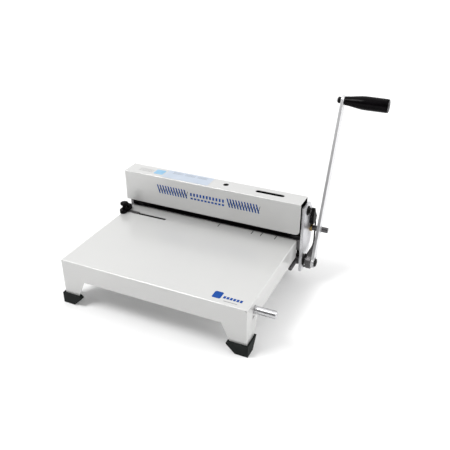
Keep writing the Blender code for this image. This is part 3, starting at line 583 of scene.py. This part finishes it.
def make_screw(cad_node):
    """A domed head with a cross recess; it looks along Y."""
    seat, top, radius, centre = axis_box(cad_node, "Y")
    rise = top - seat
    screw = loose(cad_node + "_head", turned(dome(seat, top, radius, 10), 48, "Y", centre))
    arm, half = radius * 0.55, radius * 0.14
    depth = (top - rise * 0.55, top + rise)
    for wide, tall in ((arm, half), (half, arm)):
        x = (centre[0] - wide, centre[0] + wide)
        z = (centre[1] - tall, centre[1] + tall)
        boolean(screw, "DIFFERENCE", box(x, depth, z))
    stand_in(screw, STEEL_BAR, cad_node)


def make_fasteners():
    """The bolts, rivets and screws, a washer and the stop rod's nut."""
    make_round("tie_washer", "tie_washer_right", BLACKENED, 0.4)
    low, high, radius, centre = axis_box("tie_bolt_right", "X")
    head = hexagon_head(low, high - 0.5, radius, centre, 0.3)
    make_piece("tie_bolt", head, BLACKENED, "tie_bolt_right", edge=0.7)
    for side in ("left", "right"):
        low, high, radius, centre = axis_box("yoke_bolt_" + side, "X")
        bolt = hexagon_head(low, high, radius, centre)
        make_piece("yoke_screw_" + side, bolt, BLACKENED, "yoke_bolt_" + side, edge=0.5)
        low, high, radius, centre = axis_box("leg_rivet_" + side, "X")
        seat, top = (low, high) if side == "right" else (high, low)
        rivet = turned(dome(seat, top, radius, 15), 40, "X", centre)
        make_piece("rivet_" + side, rivet, PAINT, "leg_rivet_" + side)
    for name in ("cover_screw_1", "cover_screw_2", "rear_panel_screw_1", "rear_panel_screw_2"):
        make_screw(name)
    make_round("stop_rod_nut", "front_stop_nut", STEEL_X, 0.5, ROD_BORE)


def make_shaft():
    """The drive shaft with its clip, bushes, collar and stud, and the stop pin's bush."""
    make_round("shaft_bar", "drive_shaft", STEEL_X, 0.8, STUD_HOLE)
    make_round("shaft_ring", "shaft_clip", BLACKENED, 0.4, SHAFT_BORE)
    for side in ("left", "right"):
        make_round("bush_" + side, "shaft_bush_" + side, DARK_STEEL, 0.5, SHAFT_BORE)
    make_round("pin_bush", "rear_stop_bush", BRASS, 0.4, PIN_BORE)
    low, high, radius, centre = axis_box("shaft_collar", "X")
    collar = loose("collar", turned(chamfered(low, high, radius, 0.8, SHAFT_BORE), 64, "X", centre))
    stud_low, stud_high, stud_radius, stud_centre = axis_box("shaft_stud", "Y")
    outside, floor = SHAFT.y - 20, SHAFT.y - 8.6
    drill(collar, outside, floor, STUD_HOLE, "Y", stud_centre, 32)
    stand_in(collar, DARK_STEEL, "shaft_collar")
    neck, shoulder = 3.8, SHAFT.y - 11.6
    profile = [(stud_low, 0), (stud_low, stud_radius - 0.8), (stud_low + 1, stud_radius)]
    profile += [(shoulder, stud_radius), (shoulder, neck), (stud_high, neck), (stud_high, 0)]
    make_piece("collar_stud", turned(profile, 48, "Y", stud_centre), DARK_STEEL, "shaft_stud")


def make_spring():
    """Round wire coiled on the shaft, with a leg that hooks behind the stop pin."""
    wire = 1.7
    coil = 13
    turns = 1.4
    straight, bend = 16, 12
    leg_from, leg_to = 104, 120.4
    first_x = span("tie_washer_right")[0].x + wire
    last_x = span("lever_hub")[0].x - 0.3 - wire
    steps = int(turns * 48)
    points = []
    for step in range(steps + 1):
        share = step / steps
        angle = math.radians(90) - math.tau * turns * (1 - share)
        x = first_x + (last_x - first_x) * share
        points.append((x, SHAFT.y + coil * math.cos(angle), SHAFT.z + coil * math.sin(angle)))
    leg_y = span("return_spring")[1].y - wire
    top_z = SHAFT.z + coil
    points.append((last_x, leg_y - bend - straight, top_z))
    points += [(last_x, y, z) for y, z in arc((leg_y - bend, top_z + bend), bend, -90, 0, 16)]
    points += [(last_x, leg_y, leg_from), (last_x, leg_y, leg_to)]
    curve = bpy.data.curves.new("spring_wire", "CURVE")
    curve.dimensions = "3D"
    curve.bevel_depth = wire * MM
    curve.bevel_resolution = 4
    curve.use_fill_caps = True
    line = curve.splines.new("POLY")
    line.points.add(len(points) - 1)
    for point, spot in zip(line.points, points):
        point.co = (*(TO_FRAME @ Vector(spot)), 1.0)
    maker = bpy.data.objects.new("spring_maker", curve)
    bpy.context.scene.collection.objects.link(maker)
    bpy.context.view_layer.update()
    mesh = bpy.data.meshes.new_from_object(maker.evaluated_get(bpy.context.evaluated_depsgraph_get()))
    bpy.data.objects.remove(maker, do_unlink=True)
    spring = bpy.data.objects.new("spring_wire", mesh)
    bpy.context.scene.collection.objects.link(spring)
    stand_in(spring, BLACKENED, "return_spring")


# ---------------------------------------------------------------- lever and grip

def make_lever():
    """The flat arm, in the lever's own plane with the shaft at its origin."""
    low, high = span("lever_arm")
    half, end, taper = 10.5, 12, 29
    outline = arc((0, 0), end, 180 - taper, 360 + taper, 40) + arc((0, LEVER_LENGTH), half, 0, 180, 32)
    arm = loose("lever_blade", prism("X", low.x, high.x, outline), ON_LEVER)
    drill(arm, low.x - 2, high.x + 2, SHAFT_BORE, sides=48, place=ON_LEVER)
    drill(arm, low.x - 2, high.x + 2, PIVOT_BORE, "X", (0, LEVER_LENGTH), 32, ON_LEVER)
    round_edges(arm, 0.6)
    stand_in(arm, STEEL_LEVER, "lever_arm")


def make_hub():
    """The cast hub: a round boss whose arm slopes up to meet the lever."""
    hub_low, hub_high = span("lever_hub")[0].x, span("lever_hub")[1].x
    boss, arm_half, reach = 15, 10, 46
    side = math.degrees(math.acos(arm_half / boss))
    outline = arc((0, 0), boss, 180 - side, 360 + side, 44) + [(arm_half, reach), (-arm_half, reach)]
    bm = prism("X", hub_low, hub_high, outline)
    slope_from, slope_to = Vector((hub_low, 0, boss * 0.8)), Vector((hub_high, 0, reach))
    normal = (slope_to - slope_from).cross(Vector((0, 1, 0)))
    if normal.z < 0:
        normal.negate()
    everything = bm.verts[:] + bm.edges[:] + bm.faces[:]
    bmesh.ops.bisect_plane(bm, geom=everything, plane_co=slope_from, plane_no=normal, clear_outer=True)
    bmesh.ops.holes_fill(bm, edges=[edge for edge in bm.edges if edge.is_boundary], sides=0)
    hub = loose("hub_casting", bm, ON_LEVER)
    drill(hub, hub_low - 2, hub_high + 2, SHAFT_BORE, sides=48, place=ON_LEVER)
    round_edges(hub, 0.9)
    stand_in(hub, DARK_STEEL, "lever_hub")


def make_pivot():
    """The washer and the socket screw on the shaft's end."""
    make_round("pivot_ring", "pivot_washer", STEEL_X, 0.3, PIVOT_BORE)
    low, high, radius, centre = axis_box("pivot_bolt", "X")
    neck, seat = 4, high - 2.6
    profile = [(low, 0), (low, neck), (seat, neck), (seat, radius - 0.3), (seat + 0.3, radius)]
    profile += [(high - 1, radius), (high - 0.4, radius - 0.5), (high, radius - 1.6)]
    socket = radius * 0.42
    profile += [(high, socket), (high - 1.4, socket), (high - 1.8, 0)]
    make_piece("pivot_screw", turned(profile, 64, "X", centre), BLACKENED, "pivot_bolt")


def make_grip():
    """The grip swells from its neck to its rim, and a cap closes its hollow end."""
    centre = (GRIP.y, GRIP.z)
    bore, mouth, floor = 4.5, 11.2, 2
    low, rim, _, _ = axis_box("hand_grip", "X")
    profile = [(low, bore), (low, 7.7), (low + 0.3, 8.1), (low + 0.8, 8.7), (low + 1.6, 9.0)]
    swell = ((6, 9.4), (10, 9.8), (16, 10.7), (22, 11.7), (28, 12.6), (34, 13.4), (38, 13.8), (42, 13.95))
    profile += [(low + along, size) for along, size in swell]
    profile += [(low + 52, 14), (rim - 1.2, 13.9), (rim - 0.4, 13.7), (rim, 13.1)]
    profile += [(rim, mouth), (rim - floor, mouth), (rim - floor, bore)]
    make_piece("grip_body", turned(profile, 96, "X", centre), PLASTIC, "hand_grip", sharp=50)
    low, high, radius, _ = axis_box("grip_cap", "X")
    lip, plug = rim + 0.3, mouth - 0.3
    profile = [(low, 0), (low, plug), (lip, plug), (lip, radius - 0.5), (lip + 0.4, radius)]
    profile += [(lip + 1.3, radius - 0.15), (lip + 2.2, radius - 0.8), (high, radius - 1.9)]
    profile += [(high - 0.15, radius - 3.2), (high - 0.9, 7), (high - 1.0, 5.2)]
    profile += [(high - 0.5, 4.6), (high - 0.4, 0)]
    make_piece("grip_end", turned(profile, 96, "X", centre), PLASTIC, "grip_cap", sharp=50)
    make_round("spindle", "grip_spindle", STEEL_X, 0.6, sides=40)
    low, high, radius, _ = axis_box("grip_nut", "X")
    nut = loose("spindle_nut", hexagon_head(low, high, radius, centre, 0.4))
    drill(nut, low - 1, high + 1, PIVOT_BORE, "X", centre, 32)
    round_edges(nut, 0.6)
    stand_in(nut, BLACKENED, "grip_nut")


# ---------------------------------------------------------------- edge guide

# Height of the block's step, and the gap between the step and the knob's foot
GUIDE_STEP = 8
KNOB_GAP = 0.3


def make_edge_guide():
    """The guide's block: a step with a round nose, and a taller back along the paper's edge."""
    low, high = span("edge_guide_block")
    middle = (low.x + high.x) / 2
    half = (high.x - low.x) / 2
    step_z = low.z + GUIDE_STEP
    inset, back_depth, screw_hole = 1, 12, 3.4
    nose_y = low.y + half
    nose = arc((middle, nose_y), half, 180, 360, 28) + [(high.x, high.y), (low.x, high.y)]
    block = loose("guide_body", prism("Z", low.z, step_z, nose))
    floor = low.z + 3
    back = box((low.x + inset, high.x - inset), (high.y - back_depth, high.y - inset), (floor, high.z))
    boolean(block, "UNION", back)
    knob = to_mm(JOINTS["guide_knob_turn"]["pos_m"])
    drill(block, floor, step_z + 2, screw_hole, "Z", (knob.x, knob.y), 32)
    round_edges(block, 0.9)
    stand_in(block, PLASTIC, "edge_guide_block")


def make_guide_knob():
    """The clamping knob: a screw, a waisted neck and a fluted head."""
    low, high, radius, centre = axis_box("guide_knob", "Z")
    screw = 3
    foot = span("edge_guide_block")[0].z + GUIDE_STEP + KNOB_GAP
    head = foot + 8
    flutes, depth = 12, 0.045
    profile = [(low, 0), (low, screw - 0.2), (low + 0.3, screw), (foot, screw), (foot, 6), (foot + 0.4, 6.4)]
    profile += [(foot + 1.6, 5.9), (foot + 3, 4.9), (foot + 5, 4.6), (foot + 7, 5.2), (head, 7)]
    profile += [(head + 0.8, radius - 0.4), (head + 1.8, radius), (head + 4.6, radius)]
    profile += [(head + 5.7, radius - 0.5), (head + 6.5, radius - 2), (high, radius - 4.5), (high - 0.2, 0)]

    def fluted(angle, along):
        return 1 - depth * (0.5 - 0.5 * math.cos(flutes * angle)) if along > head else 1.0

    knob = turned(profile, 144, "Z", centre, fluted)
    make_piece("guide_thumb_knob", knob, PLASTIC, "guide_knob", sharp=50)


# ---------------------------------------------------------------- printed marks

# Thickness of a print and its distance from the face under it
PRINT = 0.12
LIFT = 0.03


def cover_mark(name, shapes, material):
    """Flat shapes printed on the cover's front, as outlines of (x, z)."""
    face = span("head_cover")[0].y
    parts = [prism("Y", face - LIFT - PRINT, face - LIFT, outline) for outline in shapes]
    make_piece(name, merge(*parts), material, body="frame", slot="painted_sheet")


def flat_mark(name, shapes, material, z):
    """Flat shapes on a level face, as outlines of (x, y)."""
    parts = [prism("Z", z + LIFT, z + LIFT + PRINT, outline) for outline in shapes]
    make_piece(name, merge(*parts), material, body="frame", slot="painted_sheet")


def rectangle(x, y, slant=0.0):
    """A rectangle whose upper edge is moved sideways by the slant."""
    return [(x[0], y[0]), (x[1], y[0]), (x[1] + slant, y[1]), (x[0] + slant, y[1])]


def strokes(start, end, low, high, count, weight, lean):
    """A row of strokes; weight is a stroke's share of the pitch and lean its slant in pitches."""
    pitch = (end - start) / count
    shapes = []
    for index in range(count):
        x = start + pitch * (index + 0.5)
        shapes.append(rectangle((x, x + pitch * weight), (low, high), pitch * lean))
    return shapes


def blocks(start, end, low, high, count, gap):
    """A row of upright blocks with equal gaps."""
    pitch = (end - start) / count
    edges = [start + pitch * index for index in range(count)]
    return [rectangle((edge, edge + pitch - gap), (low, high)) for edge in edges]


def rounded(x, y, radius):
    """A rectangle with round corners."""
    outline = []
    corners = ((x[1] - radius, y[0] + radius, -90), (x[1] - radius, y[1] - radius, 0),
               (x[0] + radius, y[1] - radius, 90), (x[0] + radius, y[0] + radius, 180))
    for cx, cy, start in corners:
        outline += arc((cx, cy), radius, start, start + 90, 6)
    return outline


def mark_cover():
    """A coil-like row on each side of two rows of bars, and the labels on top."""
    length, count = 73, 11
    for side, start in (("left", 77), ("right", 246)):
        end = start + length
        cover_mark("stroke_row_" + side, strokes(start, end, 150, 170, count, 0.46, -0.9), INK)
        cover_mark("thin_row_" + side, strokes(start, end, 153, 167, count, 0.16, 0.55), BLACK_INK)
    cover_mark("bar_row_upper", blocks(157, 241, 158.2, 165.6, 11, 3.6), INK)
    cover_mark("bar_row_lower", blocks(158, 241, 150.2, 154.4, 10, 3.0), INK)
    top = span("head_cover")[1].z
    flat_mark("pale_label", [rounded((85, 197), (258.5, 296), 2.5)], LABEL, top)
    flat_mark("cyan_square", [rounded((59, 82), (267, 289), 3)], CYAN, top)
    lines = [rectangle((20, 54), (y, y + 0.7)) for y in (271, 276, 281)]
    flat_mark("label_lines", lines, GREY_INK, top)
    rows = [rectangle((x, x + 24), (y, y + 0.8)) for x in (100, 130, 160) for y in (284, 289)]
    flat_mark("label_rows", rows, GREY_INK, top + LIFT + PRINT)


def mark_table():
    """A plain badge near the front, and the paper sizes' ticks beside the throat."""
    flat_mark("table_badge", [rounded((324, 341), (13, 33), 3)], INK, TABLE_TOP)
    flat_mark("table_bar", blocks(345, 384, 17, 24, 6, 1.8), INK, TABLE_TOP)
    flat_mark("table_line", [rectangle((349, 376), (9.5, 10.6))], GREY_INK, TABLE_TOP)
    half = 0.8
    ticks = [rectangle((x - half, x + half), (249, 263)) for x in (225, 303, 324, 356)]
    flat_mark("size_ticks", ticks, BLACK_INK, TABLE_TOP)


# ---------------------------------------------------------------- CAD nodes that stay

def dress_nodes():
    """Every CAD node that still shows gets its finish and broken edges."""
    broken = 0.35
    # The upper tie bar is black as painted shade: it darkens the head's inside where it shows through the cover's
    # slot.
    other = {"upper_tie_bar": BLACKENED, "die_bar": DARK_STEEL, "spring_anchor_block": BLACKENED,
             "guide_slide_strip": DARK_STEEL, "left_side_plate": DARK_STEEL}
    for name, item in NODES.items():
        if item.hide_render:
            continue
        item.data.materials.clear()
        item.data.materials.append(other.get(name, FINISH_OF[SLOT_OF[name]]))
        edge = round_edges(item, broken, 2, 40)
        edge.harden_normals = True


# ---------------------------------------------------------------- camera, floor and light

# The camera that was fitted to the photo; its lens is in millimetres too
CAMERA_PLACE = (713.4, -771.3, 737.1)
CAMERA_RIGHT = (0.90811, 0.41873, -0.00240)
CAMERA_UP = (-0.20227, 0.44367, 0.87307)
CAMERA_LENS = 47.94
CAMERA_SHIFT = (0.0014, -0.0008)
CAMERA_SENSOR = 36.0
# Half the floor's side, in metres
FLOOR_HALF = 8.0


def make_camera():
    """The photo's camera; its up direction is made square to the others."""
    data = bpy.data.cameras.new("camera")
    data.sensor_width = CAMERA_SENSOR
    data.lens = CAMERA_LENS
    data.shift_x, data.shift_y = CAMERA_SHIFT
    camera = bpy.data.objects.new("camera", data)
    bpy.context.scene.collection.objects.link(camera)
    right = Vector(CAMERA_RIGHT)
    back = right.cross(Vector(CAMERA_UP)).normalized()
    up = back.cross(right).normalized()
    turn = Matrix((right.normalized(), up, back)).transposed().to_4x4()
    camera.matrix_world = Matrix.Translation(TO_FRAME @ Vector(CAMERA_PLACE)) @ turn
    bpy.context.scene.camera = camera


def area_light(name, place, aim, size, power):
    """A softbox; its place, aim and size are in metres."""
    data = bpy.data.lights.new(name, "AREA")
    data.shape = "RECTANGLE"
    data.size, data.size_y = size
    data.energy = power
    light = bpy.data.objects.new(name, data)
    bpy.context.scene.collection.objects.link(light)
    light.location = place
    light.rotation_euler = (Vector(aim) - Vector(place)).to_track_quat("-Z", "Y").to_euler()


def make_light():
    """A white studio that is dimmer in front of the object than over and behind it."""
    world = bpy.data.worlds.new("studio")
    bpy.context.scene.world = world
    world.use_nodes = True
    tree = world.node_tree
    background = tree.nodes["Background"]
    way = node(tree, "ShaderNodeTexCoord").outputs["Generated"]
    parts = node(tree, "ShaderNodeSeparateXYZ", {"Vector": way})
    level = node(tree, "ShaderNodeMapRange", {"Value": parts.outputs["Y"], "From Min": -0.9, "From Max": 0.5,
                                              "To Min": 0.1, "To Max": 1.0})
    tree.links.new(level.outputs["Result"], background.inputs["Color"])
    background.inputs["Strength"].default_value = 1.0
    target = TO_FRAME @ Vector((200, 150, 80))
    area_light("softbox_left", (-0.95, -0.8, 1.9), target, (1.0, 0.8), 32)
    area_light("softbox_top", (-0.3, 0.4, 2.1), target, (1.6, 1.6), 4)
    area_light("softbox_right", (1.8, 0.1, 1.0), target, (1.2, 1.2), 20)


def make_floor():
    """A plain pale floor that glows a little more far from the object, as a lit backdrop does."""
    bm = bmesh.new()
    bmesh.ops.create_grid(bm, x_segments=1, y_segments=1, size=FLOOR_HALF)
    mesh = bpy.data.meshes.new("floor")
    bm.to_mesh(mesh)
    bm.free()
    floor = bpy.data.objects.new("floor", mesh)
    bpy.context.scene.collection.objects.link(floor)
    pale = bpy.data.materials.new("floor")
    pale.use_nodes = True
    tree = pale.node_tree
    shader = tree.nodes["Principled BSDF"]
    shader.inputs["Base Color"].default_value = (0.8, 0.8, 0.8, 1)
    shader.inputs["Roughness"].default_value = 0.8
    shader.inputs["Specular IOR Level"].default_value = 0.1
    shader.inputs["Emission Color"].default_value = (1, 1, 1, 1)
    place = node(tree, "ShaderNodeTexCoord").outputs["Object"]
    distance = node(tree, "ShaderNodeVectorMath", {"Vector": place}, operation="LENGTH").outputs["Value"]
    glow = node(tree, "ShaderNodeMapRange", {"Value": distance, "From Min": 0.6, "From Max": 2.0,
                                             "To Min": 0.12, "To Max": 0.6})
    tree.links.new(glow.outputs["Result"], shader.inputs["Emission Strength"])
    mesh.materials.append(pale)


make_camera()
make_light()
make_floor()
make_table()
make_rear_panel()
make_cover()
for end, along_y in (("front", -1), ("rear", 1)):
    for side, along_x in (("left", -1), ("right", 1)):
        make_boot(end + "_foot_" + side, (along_x, along_y))
make_rods()
make_fasteners()
make_shaft()
make_spring()
make_lever()
make_hub()
make_pivot()
make_grip()
make_edge_guide()
make_guide_knob()
mark_cover()
mark_table()
dress_nodes()
bpy.context.scene.view_settings.view_transform = "Standard"
